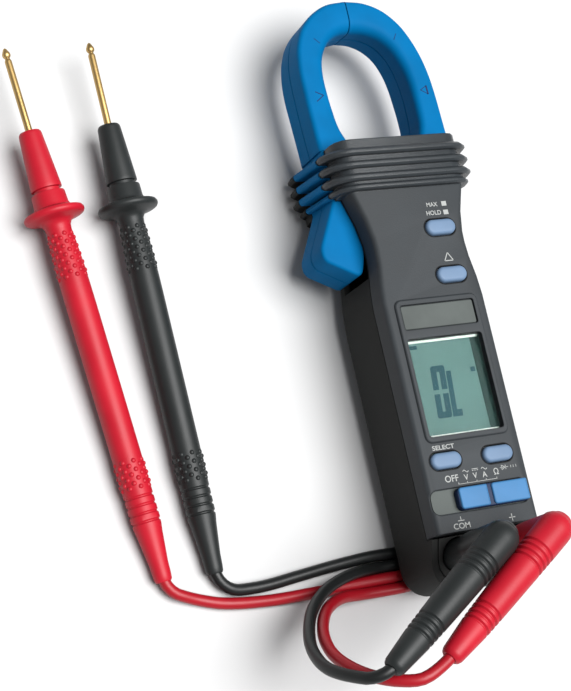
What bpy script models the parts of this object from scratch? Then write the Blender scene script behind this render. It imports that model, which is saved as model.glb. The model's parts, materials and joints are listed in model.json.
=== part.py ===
"""Clamp meter with a spring jaw, slide switch, push buttons and two test leads.

Metres, +Z up.  The meter lies on its back: +X is its right side seen from the front, +Y runs
to the jaw tip, +Z comes out of the front face, and the table is z = 0.  Helpers take millimetres.
"""
import math

import bmesh
import bpy
from mathutils import Matrix, Vector
from mathutils.geometry import interpolate_bezier

MM = 0.001
GAP = 0.3                      # clearance between touching pieces

# ---- driving dimensions (mm) ----
BODY_X = 2.15                  # centreline of the case
REAR_Z, FRONT_Z = 4.0, 35.5    # flat rear and front faces
PARTING_Z = 28.3               # joint between the front and rear case
BOTTOM_Y, TOP_Y = -95.0, 95.0
WALL = 2.0
COLLAR_LOW, COLLAR_HIGH = 27.0, 43.5
RIB_PITCH, RIB_WIDTH, RIB_HALF = 4.1, 2.3, 25.2
RIB_FRONT_Z, RIB_LEAN = 38.4, -0.075
BAND_HALF, BAND_FRONT_Z, BAND_REAR_Z = 21.6, 36.7, 1.8
JAW_Z0, JAW_Z1, JAW_MID = 10.9, 27.3, 19.1
JAW_OUT, JAW_IN = 23.5, 15.0   # half widths of the jaw and of its aperture
JAW_OUT_Y, JAW_IN_Y, JAW_IN_TOP = 58.5, 63.4, 83.4
JAW_WALL = 1.6
JAW_FOOT = COLLAR_HIGH + 0.4    # where the jaw arms leave the collar
CORE_ROOT = (15.4, 19.2)       # the core where it passes through the collar
LIMB = (32.5, 37.5)            # the core's lower limb, in Y
PIVOT = (BODY_X - 15.2, 33.5)
PIVOT_R = 1.7
SOCKET_STEP_Y, SOCKET_STEP_Z, SOCKET_SLOPE = -80.3, 31.35, 0.49
SOCKET_X, SOCKET_Y, SOCKET_Z = 9.05, -85.7, 28.9
SOCKET_UP = Vector((0, 0, 1))
SOCKETS = {"black": -SOCKET_X, "red": SOCKET_X}
PLUG_TURN = math.radians(215.0)  # heading of the plug body, from +X
PLUG_HEAD = 29.6               # socket face to the plug's elbow
PLUG_LENGTH = 53.6             # elbow to the plug's tail
PROBE_LENGTH = 138.6           # tail to the handle's nose
LEAD_R = 1.8
LEAD_STEP = 7.4                # spacing of the points of a lead
LEAD_GAP = 0.9                 # between a lead's end and its plug or probe
BUTTONS = {"hold": (7.8, 13.4), "zero": (7.8, -1.9), "select": (-9.3, -58.6), "range": (8.5, -58.8)}
BUTTON_LONG, BUTTON_WIDE, BUTTON_TOP = 10.5, 5.3, 36.8
CHANNEL = (-17.2, 16.0, -74.6, -66.9)
KNOB = (-8.9, 14.3, -74.2, -67.4)

COLOURS = {
    "case": ((0.035, 0.035, 0.036), 0.55, 0.0),
    "jaw": ((0.01, 0.17, 0.62), 0.4, 0.0),
    "button": ((0.2, 0.32, 0.6), 0.45, 0.0),
    "knob": ((0.04, 0.27, 0.72), 0.4, 0.0),
    "plate": ((0.12, 0.12, 0.105), 0.5, 0.0),
    "window": ((0.6, 0.75, 0.7), 0.1, 0.0),
    "screen": ((0.2, 0.36, 0.29), 0.3, 0.0),
    "board": ((0.02, 0.16, 0.06), 0.5, 0.0),
    "steel": ((0.55, 0.55, 0.56), 0.3, 1.0),
    "core": ((0.2, 0.2, 0.22), 0.45, 1.0),
    "copper": ((0.7, 0.3, 0.12), 0.35, 1.0),
    "brass": ((0.72, 0.5, 0.18), 0.3, 1.0),
    "silicone": ((0.25, 0.26, 0.27), 0.7, 0.0),
    "cell": ((0.08, 0.1, 0.14), 0.35, 0.0),
    "red": ((0.72, 0.02, 0.03), 0.4, 0.0),
    "black": ((0.02, 0.022, 0.022), 0.4, 0.0),
}


# ---- helpers ----
def material(name):
    """A Principled material for one of the colours, made once."""
    found = bpy.data.materials.get(name)
    if found:
        return found
    colour, rough, metal = COLOURS[name]
    made = bpy.data.materials.new(name)
    made.use_nodes = True
    shader = made.node_tree.nodes["Principled BSDF"]
    shader.inputs["Base Color"].default_value = (*colour, 1.0)
    shader.inputs["Roughness"].default_value = rough
    shader.inputs["Metallic"].default_value = metal
    made.diffuse_color = (*colour, 1.0)
    return made


def mesh_object(name, bm, look="case"):
    """Close a bmesh (in mm) into a named object in metres."""
    bmesh.ops.recalc_face_normals(bm, faces=bm.faces)
    bmesh.ops.scale(bm, vec=(MM, MM, MM), verts=bm.verts)
    mesh = bpy.data.meshes.new(name)
    bm.to_mesh(mesh)
    bm.free()
    obj = bpy.data.objects.new(name, mesh)
    bpy.context.collection.objects.link(obj)
    mesh.materials.append(material(look))
    return obj


def offset_corners(corners, inset):
    """Move each edge of a counter-clockwise polygon inwards; corner radii follow."""
    count = len(corners)
    moved = []
    for i in range(count):
        a, b, c = (Vector(corners[(i + k) % count][:2]) for k in (-1, 0, 1))
        before, after = (b - a).normalized(), (c - b).normalized()
        n0, n1 = Vector((-before.y, before.x)), Vector((-after.y, after.x))
        bisector = (n0 + n1).normalized()
        point = b + bisector * (inset / bisector.dot(n0))
        turn = before.x * after.y - before.y * after.x
        radius = max(corners[i][2] - inset * math.copysign(1, turn), 0.0 if corners[i][2] == 0 else 0.3)
        moved.append((point.x, point.y, radius))
    return moved


def rounded(corners, inset=0.0, step=22.5):
    """Outline of a polygon given as (x, y, corner radius), its corners turned into arcs."""
    corners = offset_corners(corners, inset) if inset else corners
    count = len(corners)
    points = []
    for i in range(count):
        a, b, c = (Vector(corners[(i + k) % count][:2]) for k in (-1, 0, 1))
        radius = corners[i][2]
        u, v = (a - b).normalized(), (c - b).normalized()
        half = u.angle(v) / 2
        if radius <= 0 or half > math.radians(89.5):
            points.append(b)
            continue
        reach = radius / math.tan(half)
        centre = b + (u + v).normalized() * (radius / math.sin(half))
        start, end = b + u * reach - centre, b + v * reach - centre
        sweep = start.angle_signed(end)
        parts = max(1, round(abs(math.degrees(sweep)) / step))
        for k in range(parts + 1):
            turn = Matrix.Rotation(-sweep * k / parts, 2)
            points.append(centre + turn @ start)
    return [(p.x, p.y) for p in points]


def rectangle(x0, x1, y0, y1, radius=0.0):
    return [(x0, y0, radius), (x1, y0, radius), (x1, y1, radius), (x0, y1, radius)]


def loft(name, rings, look="case"):
    """A closed solid through rings of equal point counts."""
    bm = bmesh.new()
    rows = [[bm.verts.new(p) for p in ring] for ring in rings]
    count = len(rows[0])
    for low, high in zip(rows, rows[1:]):
        for i in range(count):
            j = (i + 1) % count
            bm.faces.new((low[i], low[j], high[j], high[i]))
    bm.faces.new(list(reversed(rows[0])))
    bm.faces.new(rows[-1])
    return mesh_object(name, bm, look)


def prism(name, points, z0, z1, look="case", dx=BODY_X):
    return loft(name, [[(x + dx, y, z) for x, y in points] for z in (z0, z1)], look)


def prism_x(name, points, x0, x1, look="case"):
    """Outline in (y, z), extruded along X."""
    return loft(name, [[(x, y, z) for y, z in points] for x in (x0, x1)], look)


def box(name, x0, x1, y0, y1, z0, z1, look="case", radius=0.0):
    """A block measured from the case's centreline in X."""
    return prism(name, rounded(rectangle(x0, x1, y0, y1, radius)), z0, z1, look)


def turned(name, profile, origin, axis, look, segments=16):
    """Solid of revolution: profile is (radius, distance along the axis), both ends on the axis."""
    bm = bmesh.new()
    frame = Matrix.Translation(origin) @ Vector(axis).to_track_quat("Z", "Y").to_matrix().to_4x4()
    rows = []
    for radius, along in profile:
        if radius == 0:
            rows.append([bm.verts.new(frame @ Vector((0, 0, along)))])
            continue
        turns = [2 * math.pi * k / segments for k in range(segments)]
        rows.append([bm.verts.new(frame @ Vector((radius * math.cos(t), radius * math.sin(t), along)))
                     for t in turns])
    for low, high in zip(rows, rows[1:]):
        for k in range(segments):
            n = (k + 1) % segments
            ring = [low[k % len(low)], low[n % len(low)], high[n % len(high)], high[k % len(high)]]
            bm.faces.new(list(dict.fromkeys(ring)))
    return mesh_object(name, bm, look)


def rod(name, origin, axis, radius, length, look="case", segments=16):
    return turned(name, [(0, 0), (radius, 0), (radius, length), (0, length)], origin, axis, look, segments)


def bake(obj):
    """Apply an object's modifiers."""
    graph = bpy.context.evaluated_depsgraph_get()
    mesh = bpy.data.meshes.new_from_object(obj.evaluated_get(graph))
    obj.modifiers.clear()
    obj.data = mesh
    return obj


def combine(obj, others, operation="DIFFERENCE"):
    """Boolean an object with throw-away helpers, one after another."""
    for other in others:
        step = obj.modifiers.new("combine", "BOOLEAN")
        step.operation = operation
        step.solver = "EXACT"
        step.object = other
        bake(obj)
        bpy.data.objects.remove(other)
    return obj


def cut(obj, *others):
    return combine(obj, others)


def join(obj, *others):
    return combine(obj, others, "UNION")


def keep(obj, other):
    return combine(obj, [other], "INTERSECT")


def copy(obj, name):
    twin = obj.copy()
    twin.data = obj.data.copy()
    twin.name = name
    bpy.context.collection.objects.link(twin)
    return twin


def bevel(obj, width, segments=2, angle=35.0):
    """Round an object's sharp edges."""
    step = obj.modifiers.new("bevel", "BEVEL")
    step.width = width * MM
    step.segments = segments
    step.limit_method = "ANGLE"
    step.angle_limit = math.radians(angle)
    return bake(obj)


def smooth(obj, angle=35.0):
    obj.data.shade_smooth()
    obj.data.set_sharp_from_angle(angle=math.radians(angle))
    return obj


def pivot_empty(name, x, y, z):
    """An empty on a joint's axis; moving pieces hang from it."""
    empty = bpy.data.objects.new(name, None)
    empty.location = Vector((x, y, z)) * MM
    bpy.context.collection.objects.link(empty)
    return empty


def hang(empty, *pieces):
    for piece in pieces:
        piece.parent = empty
        piece.matrix_parent_inverse = Matrix.Translation(-empty.location)


# ---- case ----
def mirrored(right_side):
    """Right-hand corners from bottom to top, with their mirror images, counter-clockwise."""
    return right_side + [(-x, y, r) for x, y, r in reversed(right_side)]


CASE = mirrored([(17.6, BOTTOM_Y, 8.5), (17.6, -6, 40), (15.8, 6, 25), (16.1, 15, 25),
                 (20.4, 29, 8), (20.4, 43.2, 2)])


def edge_rings(z_flat, z_end, radius, corners, inset=0.0, steps=4):
    """Rings that round the edge of a flat face at z_flat and run on to z_end."""
    away = math.copysign(1, z_end - z_flat)

    def outline(offset):
        return rounded(corners, offset, 15.0)

    rings = []
    for k in range(steps + 1):
        a = math.pi / 2 * k / steps
        z = z_flat + away * radius * (1 - math.cos(a))
        rings.append([(x + BODY_X, y, z) for x, y in outline(inset + radius * (1 - math.sin(a)))])
    rings.append([(x + BODY_X, y, z_end) for x, y in outline(inset)])
    return rings


def rib_section(half, z_low, z_high, radius):
    return rounded(rectangle(-half, half, z_low, z_high, radius), step=30)


def ring_plate(name, section, y, width, lean=RIB_LEAN):
    """A plate across the case: section in (x, z), its faces leaning back by lean per mm of z."""
    rows = [[(x + BODY_X, y + end + lean * (z - FRONT_Z), z) for x, z in section]
            for end in (-width / 2, width / 2)]
    return loft(name, rows)


def collar(name):
    """The ribbed band round the jaw end: a base band, three ribs and a lower lip."""
    middle = (COLLAR_LOW + COLLAR_HIGH) / 2
    section = rib_section(BAND_HALF, BAND_REAR_Z, BAND_FRONT_Z, 5)
    band = ring_plate(name, section, middle, COLLAR_HIGH - COLLAR_LOW, 0.0)
    for k in range(3):
        section = rib_section(RIB_HALF, 0.0, RIB_FRONT_Z, 8)
        rib = ring_plate("rib", section, COLLAR_HIGH - 4.2 - k * RIB_PITCH, RIB_WIDTH)
        join(band, bevel(rib, 0.75, 1, 60))
    lip = ring_plate("lip", rib_section(23.6, 1.0, 37.6, 7), COLLAR_LOW + 1.0, 1.9)
    return join(band, bevel(lip, 0.6, 1, 60))


def lever_room():
    """The space on the left that the lever fills and swings in, as an outline from above."""
    path = [(-40, 1.5), (-8.2, 1.5), (-8.2, 41.0), (-14.4, 47.2), (-14.4, 60), (-40, 60)]
    return prism("room", path, JAW_Z0 - 0.5, JAW_Z1 + 0.5)


def build_front_case():
    case = loft("front_case", edge_rings(FRONT_Z, PARTING_Z + GAP / 2, 1.6, CASE, 0.0, 3))
    join(case, collar("collar"))
    cut(case, box("below", -60, 60, -120, 120, -20, PARTING_Z + GAP / 2))
    cut(case, box("end", -60, 60, -120, SOCKET_STEP_Y + GAP, 0, 60))
    ring = prism("ring", rounded(rectangle(-14.35, 14.35, -53, -8.5, 2.2)), 34.5, 36.2)
    join(case, bevel(ring, 0.4, 1, 60))
    inside = rounded(CASE, WALL + 0.2)
    room = prism("room", inside, 20, FRONT_Z - WALL)
    cut(room, box("floor", -60, 60, -120, -77.6, 0, 60))
    cut(case, room)
    cut(case, box("window", -12.9, 12.9, -51.2, -20.9, 20, 60, radius=1.0))
    cut(case, box("nameplate_recess", -12.8, 12.8, -18.1, -10.2, 35.1, 60, radius=0.8))
    x0, x1, y0, y1 = CHANNEL
    cut(case, prism("channel", rounded(rectangle(x0, x1, y0, y1, 2.5)), 34.6, 60))
    cut(case, box("slot", -8.4, 5.4, -72.3, -69.3, 20, 60, radius=1.0))
    for x, y in BUTTONS.values():
        hole = rounded(stadium(x, y, BUTTON_LONG + 2 * GAP, BUTTON_WIDE + 2 * GAP))
        cut(case, prism("hole", hole, 20, 60))
    return smooth(case)


def stadium(x, y, long, wide):
    return rectangle(x - long / 2, x + long / 2, y - wide / 2, y + wide / 2, wide / 2 - 0.05)


SCREWS = [(11.6, -13.0), (-11.6, -13.0), (11.6, -75.0), (-11.6, -75.0)]
COVER = (-12.5, 12.5, -70.5, -18.5)
COVER_SCREW = (0.0, -75.0)
SCREW_HEAD, SCREW_SHANK = 2.3, 1.1


def build_rear_case():
    case = loft("rear_case", edge_rings(REAR_Z, 34, 4.5, CASE))
    join(case, collar("collar"))
    step = SOCKET_STEP_Y - GAP
    reach = 17.0
    above = [(60, PARTING_Z - GAP / 2), (step, PARTING_Z - GAP / 2), (step, SOCKET_STEP_Z),
             (step - reach, SOCKET_STEP_Z - reach * SOCKET_SLOPE), (step - reach, 60), (60, 60)]
    cut(case, prism_x("above", above, -60, 60))
    floor = REAR_Z + WALL
    room = prism("room", rounded(CASE, WALL), floor, 60)
    cut(room, box("top_wall", -60, 60, 39.5, 60, 0, 80))
    for x, y in SCREWS + [COVER_SCREW]:
        cut(room, rod("boss", (x + BODY_X, y, 0), (0, 0, 1), 3.4, 11.5, segments=12))
    cut(case, room)
    cut(case, lever_room())
    cut(case, box("coil_room", -14.0, 14.6, 20, 41.2, JAW_Z0 - 1.5, 60))
    cut(case, box("core_gate", CORE_ROOT[0] - GAP, CORE_ROOT[1] + GAP, 30, 60, JAW_Z0 + 1.5, JAW_Z1 - 1.5))
    x0, x1, y0, y1 = COVER
    cut(case, box("cover_hole", x0, x1, y0, y1, 0, 10, radius=2.0))
    wide, narrow, seat = SCREW_HEAD + GAP, SCREW_SHANK + GAP, 6.6
    bore = [(0, -5), (wide, -5), (wide, seat), (narrow, seat), (narrow, 40), (0, 40)]
    for x, y in SCREWS + [COVER_SCREW]:
        cut(case, turned("bore", bore, (x + BODY_X, y, 0), (0, 0, 1), "steel", 12))
    return smooth(case)


def build_case_hardware():
    """Screws, battery cover and what is fixed to the rear case."""
    for number, (x, y) in enumerate(SCREWS, 1):
        turned(f"case_screw_{number}", screw_profile(18.0), (x + BODY_X, y, 0), (0, 0, 1), "steel", 10)
    x, y = COVER_SCREW
    turned("battery_cover_screw", screw_profile(6.0), (x + BODY_X, y, 0), (0, 0, 1), "steel", 10)
    x0, x1, y0, y1 = COVER
    lid = box("battery_cover", x0 + GAP, x1 - GAP, y0 + GAP, y1 - GAP, REAR_Z, REAR_Z + WALL, radius=1.7)
    smooth(bevel(lid, 0.3, 1, 60))


def screw_profile(shank):
    """Countersunk pan head from z = 4.4 upwards, with a driver recess."""
    low, top = REAR_Z + 0.4, REAR_Z + 2.2
    return [(0, low + 0.9), (0.9, low + 0.6), (1.1, low), (SCREW_HEAD - 0.4, low), (SCREW_HEAD, low + 0.4),
            (SCREW_HEAD, top), (SCREW_SHANK, top), (SCREW_SHANK, top + shank), (0, top + shank)]


# ---- front panel ----
def build_display():
    """Nameplate, window, liquid crystal cell, backlight and its contact strip."""
    smooth(bevel(box("nameplate", -12.5, 12.5, -17.8, -10.5, 35.25, 35.75, "plate", 0.6), 0.15, 1, 60))
    box("lcd_window", -12.6, 12.6, -50.9, -21.2, 33.6, 34.3, "window", 0.8)
    box("lcd_glass", -13.6, 13.6, -54.0, -16.5, 31.6, 33.2, "screen")
    box("lcd_backlight", -13.2, 13.2, -54.0, -21.0, 29.6, 31.3, "window")
    box("lcd_contact_strip", -12.0, 12.0, -19.2, -17.0, 29.4, 31.3, "silicone")


def build_board():
    outline = [(13.6, -76.8, 1), (13.6, -8, 0), (12.6, 20, 0), (12.6, 37, 1),
               (-12.6, 37, 1), (-12.6, 20, 0), (-13.6, -8, 0), (-13.6, -76.8, 1)]
    board = prism("main_board", rounded(outline), 27.9, 29.1, "board")
    for x, y in SCREWS:
        cut(board, rod("hole", (x + BODY_X, y, 20), (0, 0, 1), 2.4, 20, segments=10))
    box("keypad_mat_upper", 1.6, 12.2, -6.0, 17.0, 29.4, 30.3, "silicone", 1.0)
    box("keypad_mat_lower", -13.4, 13.4, -62.0, -55.4, 29.4, 30.3, "silicone", 1.0)
    turned("buzzer", [(0, 23.6), (5.6, 23.6), (6.0, 24.0), (6.0, 27.6), (0, 27.6)],
           (BODY_X + 7.2, -6, 0), (0, 0, 1), "black")


def build_buttons():
    for name, (x, y) in BUTTONS.items():
        outline = rounded(stadium(x, y, BUTTON_LONG, BUTTON_WIDE))
        cap = prism(f"button_{name}", outline, 31.9, BUTTON_TOP, "button")
        bevel(cap, 0.5, 1, 60)
        outline = rounded(stadium(x, y, BUTTON_LONG + 1.2, BUTTON_WIDE + 1.4))
        flange = prism("flange", outline, 31.2, 32.3, "button")
        hang(pivot_empty(f"axis_{name}", x + BODY_X, y, BUTTON_TOP), smooth(join(cap, flange)))


def build_slide_switch():
    """Two-pad knob with its stem, the contact carriage, and the plate it runs on."""
    x0, x1, y0, y1 = KNOB
    low, top, groove = 35.05, 38.0, 2.3
    middle = 2.15
    knob = box("slide_knob", x0, x1, y0, y1, low, 35.9, "knob", 1.2)
    for a, b in ((x0, middle - groove / 2), (middle + groove / 2, x1)):
        join(knob, bevel(box("pad", a, b, y0, y1, low, top, "knob", 1.2), 0.6, 1, 60))
    join(knob, box("stem", 0.6, 4.6, -72.0, -69.6, 31.9, 35.5, "knob"))
    carriage = box("slide_carriage", -3.6, 9.0, -74.0, -67.6, 29.5, 31.6, "silicone", 0.6)
    hang(pivot_empty("axis_slide", BODY_X + middle, (y0 + y1) / 2, FRONT_Z), smooth(knob), carriage)
    x0, x1, y0, y1 = CHANNEL
    outline = rounded(rectangle(x0 + GAP, x1 - GAP, y0 + GAP, y1 - GAP, 2.2))
    plate = prism("slide_plate", outline, 34.75, 34.95, "plate")
    cut(plate, box("slot", -8.4, 5.4, -72.3, -69.3, 20, 60, radius=1.0))


# ---- inside ----
def build_power():
    """Two AAA cells, their tray and contacts."""
    for number, side in enumerate((-1, 1), 1):
        cell = [(0, 0), (1.9, 0), (1.9, 1.0), (5.0, 1.0), (5.2, 1.3), (5.2, 44.0), (4.9, 44.4), (0, 44.4)]
        flip = 0 if side > 0 else 1
        origin = (BODY_X + side * 5.8, -67.2 + 44.4 * flip, 12.4)
        turned(f"cell_{number}", cell, origin, (0, 1 - 2 * flip, 0), "cell")
    tray = box("battery_tray", -13.2, 13.2, -70.4, -19.6, 10.5, 19.4, "black")
    cut(tray, box("well", -11.9, 11.9, -69.3, -20.7, 0, 18.3))
    for name, y in (("top", -22.2), ("bottom", -68.9)):
        box(f"battery_contact_{name}", -10.8, 10.8, y, y + 0.8, 8.0, 16.4, "steel")


def jaw_outline(side, inset=0.0):
    """One jaw arm (side +1 right, -1 left) above the collar, from its root to the tip."""
    split = 2.4
    tip_x = -split + side * GAP / 2
    outer_a, outer_b = JAW_OUT - inset, TOP_Y - JAW_OUT_Y - inset
    inner_a, inner_b = JAW_IN + inset, JAW_IN_TOP - JAW_IN_Y + inset
    steps = 9
    start = math.acos(max(-1, min(1, side * (tip_x + side * inset) / outer_a)))
    outer = [(outer_a * math.cos(start * k / steps), JAW_OUT_Y + outer_b * math.sin(start * k / steps))
             for k in range(steps + 1)]
    start = math.acos(max(-1, min(1, side * (tip_x + side * inset) / inner_a)))
    inner = [(inner_a * math.cos(start * k / steps), JAW_IN_Y + inner_b * math.sin(start * k / steps))
             for k in range(steps, -1, -1)]
    return [(side * x, y) for x, y in outer + inner]


def halves(solid, name, look):
    """Split a solid at the jaw's middle plane into a front and a rear half."""
    pieces = []
    for half, low, high in (("front", JAW_MID + GAP / 2, 60), ("rear", -60, JAW_MID - GAP / 2)):
        part = keep(copy(solid, f"{name}_{half}"), box("half", -60, 60, -60, 120, low, high))
        part.data.materials.clear()
        part.data.materials.append(material(look))
        pieces.append(part)
    bpy.data.objects.remove(solid)
    return pieces


def hollow(pieces, cavity):
    """Take a cavity out of each half shell, then shade it."""
    for piece in pieces:
        cut(piece, copy(cavity, "cavity"))
        smooth(piece)
    bpy.data.objects.remove(cavity)


def build_fixed_jaw():
    """Right arm: two half shells over a laminated core that runs on under the aperture."""
    arm = [(JAW_OUT, JAW_FOOT)] + jaw_outline(1) + [(JAW_IN, JAW_FOOT)]
    solid = bevel(prism("solid", arm, JAW_Z0, JAW_Z1, "jaw"), 2.2, 2, 60)
    cut(solid, box("foot", -60, 60, 0, JAW_FOOT, 0, 60))
    pieces = halves(solid, "fixed_jaw", "jaw")
    inner = jaw_outline(1, JAW_WALL)
    inner = [(JAW_OUT - JAW_WALL, 40)] + inner + [(CORE_ROOT[0] - GAP, 44.5), (CORE_ROOT[0] - GAP, 40)]
    hollow(pieces, prism("cavity", inner, JAW_Z0 + 2.0, JAW_Z1 - 2.0))
    arm = jaw_outline(1, JAW_WALL + GAP)
    near, far = CORE_ROOT
    low, high = LIMB
    core = [(-6.0, low), (far, low), (far, COLLAR_HIGH + GAP), (JAW_OUT - JAW_WALL - GAP, 46.2)] + arm
    core += [(JAW_IN + JAW_WALL + GAP, 46.0), (near, 44.5), (near, high), (-6.0, high)]
    prism("fixed_core", core, JAW_Z0 + 2.5, JAW_Z1 - 2.5, "core")


def build_coil():
    """Current transformer on the core's lower limb: a bobbin with its winding."""
    y0, y1 = LIMB
    z0, z1 = JAW_Z0 + 2.5, JAW_Z1 - 2.5
    parts = (("coil_bobbin", 0.6, 13.4, GAP, 1.0, "silicone"),
             ("coil_winding", 2.2, 11.8, 1.3, 2.4, "copper"))
    for name, x0, x1, inside, outside, look in parts:
        sections = [rounded(rectangle(y0 - g, y1 + g, z0 - g, z1 + g, 0.8)) for g in (outside, inside)]
        sleeve = prism_x(name, sections[0], x0 + BODY_X, x1 + BODY_X, look)
        cut(sleeve, prism_x("hole", sections[1], -60, 60))


def build_lever():
    """Moving jaw, its ribbed side and the trigger: one lever in two half shells."""
    lower = [(-JAW_IN, 47.0, 2), (-10.0, 41.6, 1), (-9.0, 39.5, 1), (-9.0, 27.5, 2), (-13.2, 20, 4),
             (-15.6, 8.0, 4), (-18.2, 3.6, 1.0), (-28.7, 9.6, 1.6), (-29.45, 12.0, 2.0), (-21.0, 28.5, 2),
             (-20.4, JAW_FOOT, 0), (-JAW_OUT, JAW_FOOT, 0)]
    path = [(x, y, 0) for x, y in jaw_outline(-1)] + lower
    solid = bevel(prism("solid", rounded(path), JAW_Z0, JAW_Z1, "jaw"), 2.0, 2, 60)
    side = collar("side")
    keep(side, box("half", -40, -18.5, 20, 60, JAW_Z0, JAW_Z1))
    join(solid, side)
    bore = (PIVOT[0], PIVOT[1], 0)
    cut(solid, rod("bore", bore, (0, 0, 1), PIVOT_R + GAP, 60))
    pieces = halves(solid, "lever", "jaw")
    near, far = CORE_ROOT
    foot = 37.6
    arm = jaw_outline(-1, JAW_WALL)
    cavity = arm + [(-JAW_IN - JAW_WALL, 46.0), (-near + GAP, 44.6), (-near + GAP, 42.0),
                    (-10.6, 40.4), (-10.6, foot),
                    (-far - GAP, foot), (-far - GAP, 43.0), (-JAW_OUT + JAW_WALL, 46.0)]
    room = prism("cavity", cavity, JAW_Z0 + 2.0, JAW_Z1 - 2.0)
    pocket = [(-18.8, 8.0, 1), (-26.4, 12.2, 1), (-20.6, 25, 2), (-15.4, 25, 2), (-17.2, 12, 1)]
    join(room, prism("pocket", rounded(pocket), JAW_Z0 + 2.0, JAW_Z1 - 2.0))
    hollow(pieces, room)
    arm = jaw_outline(-1, JAW_WALL + GAP)
    core = arm + [(-JAW_IN - JAW_WALL - GAP, 46.0), (-near, 44.5), (-near, 41.6), (-10.9, 40.0),
                  (-10.9, foot + GAP),
                  (-far, foot + GAP), (-far, 43.1), (-JAW_OUT + JAW_WALL + GAP, 46.1)]
    iron = prism("lever_core", core, JAW_Z0 + 2.5, JAW_Z1 - 2.5, "core")
    hang(pivot_empty("axis_jaw", PIVOT[0], PIVOT[1], JAW_MID), iron, *pieces)


def build_pivot():
    """Pivot pin in the rear case and the torsion spring round its foot."""
    x, y = PIVOT
    rod("pivot_pin", (x, y, REAR_Z + WALL + GAP), (0, 0, 1), PIVOT_R, 20.8, "steel")
    turns, per_turn, pitch, coil_r = 3, 9, 1.0, 2.45
    points = []
    for k in range(turns * per_turn + 1):
        a = 2 * math.pi * k / per_turn
        points.append((x + coil_r * math.cos(a), y + coil_r * math.sin(a), 7.0 + pitch * k / per_turn))
    tube("return_spring", points, 0.35, "steel", 1)


def smooth_route(points, spacing):
    """Points at an even spacing on a smooth curve through a route's own points."""
    route = [Vector(p) for p in points]
    ends = [route[0] * 2 - route[1]] + route + [route[-1] * 2 - route[-2]]
    dense = []
    for before, a, b, after in zip(ends, ends[1:], ends[2:], ends[3:]):
        dense += interpolate_bezier(a, a + (b - before) / 6, b - (after - a) / 6, b, 24)[:-1]
    dense.append(route[-1])
    length = sum((q - p).length for p, q in zip(dense, dense[1:]))
    count = max(2, round(length / spacing))
    wanted = [length * k / count for k in range(count + 1)]
    result, travelled, index = [dense[0]], 0.0, 0
    for target in wanted[1:-1]:
        while travelled + (dense[index + 1] - dense[index]).length < target:
            travelled += (dense[index + 1] - dense[index]).length
            index += 1
        step = dense[index + 1] - dense[index]
        result.append(dense[index] + step * ((target - travelled) / step.length))
    return result + [dense[-1]]


def tube(name, points, radius, look, resolution=2):
    """A round wire or lead along a row of points, with closed ends."""
    curve = bpy.data.curves.new(name, "CURVE")
    curve.dimensions = "3D"
    curve.bevel_depth = radius * MM
    curve.bevel_resolution = resolution
    curve.use_fill_caps = True
    line = curve.splines.new("POLY")
    line.points.add(len(points) - 1)
    for point, place in zip(line.points, points):
        point.co = (*(Vector(place) * MM), 1.0)
    obj = bpy.data.objects.new(name, curve)
    obj.data.materials.append(material(look))
    bpy.context.collection.objects.link(obj)
    return obj


# ---- terminals, plugs, leads and probes ----


def socket_point(side, along):
    """A point on a socket's axis, measured from the face upwards."""
    return Vector((BODY_X + SOCKETS[side], SOCKET_Y, SOCKET_Z)) + SOCKET_UP * along


def build_terminals():
    """Moulded block with two shrouded 4 mm sockets."""
    block = prism("terminal_block", rounded(CASE, WALL + GAP), 6.4, 60, "black")
    start = SOCKET_STEP_Y - GAP
    reach = 12.4
    side = [(start, 6.3), (start, SOCKET_STEP_Z), (start - reach, SOCKET_STEP_Z - reach * SOCKET_SLOPE),
            (start - reach, 6.3)]
    keep(block, prism_x("side", list(reversed(side)), -60, 60))
    bore = [(0, -40), (3.1, -40), (3.1, -15.5), (4.9, -15.5), (4.9, 20), (0, 20)]
    for colour in SOCKETS:
        cut(block, turned("bore", bore, socket_point(colour, 0), SOCKET_UP, "black"))
    smooth(block)
    for name, colour in (("socket_com", "black"), ("socket_plus", "red")):
        sleeve = [(0, 0), (2.8, 0), (2.8, 14.5), (2.15, 14.5), (2.15, 1.5), (0, 1.5)]
        smooth(turned(name, sleeve, socket_point(colour, -21.0), SOCKET_UP, "brass"))


def build_plug(colour):
    """Right-angle shrouded plug: a moulded body with a hollow shroud, and its pin."""
    heading = Vector((math.cos(PLUG_TURN), math.sin(PLUG_TURN), 0))
    head = socket_point(colour, PLUG_HEAD)
    r = 5.2
    angles = [math.radians(k) for k in (-68, -45, -22, 0)]
    dome = [(0, -r)] + [(r * math.cos(a), r * math.sin(a)) for a in angles]
    grip = [(5.1, 9.0), (4.9, 18.0), (4.5, 36.0), (4.2, 43.0), (3.4, 44.0), (2.9, PLUG_LENGTH),
            (0, PLUG_LENGTH)]
    body = turned(f"plug_{colour}", dome + grip, head, heading, colour)
    leg = [(0, -PLUG_HEAD - 13.0), (4.1, -PLUG_HEAD - 13.0), (4.4, -PLUG_HEAD - 12.4),
           (4.4, -12), (5.0, -9), (5.0, 1.5), (0, 1.5)]
    join(body, turned("leg", leg, head, SOCKET_UP, colour))
    cut(body, rod("hollow", socket_point(colour, -20), SOCKET_UP, 3.15, 26))
    cut(body, rod("seat", socket_point(colour, 0), SOCKET_UP, 2.0 + GAP, 12))
    smooth(body)
    pin = [(0, 0), (1.3, 0.2), (1.85, 1.2), (1.85, 24.0), (0, 24.0)]
    turned(f"plug_pin_{colour}", pin, socket_point(colour, -12.5), SOCKET_UP, "brass", 16)
    return head + heading * (PLUG_LENGTH + LEAD_GAP), heading


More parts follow.
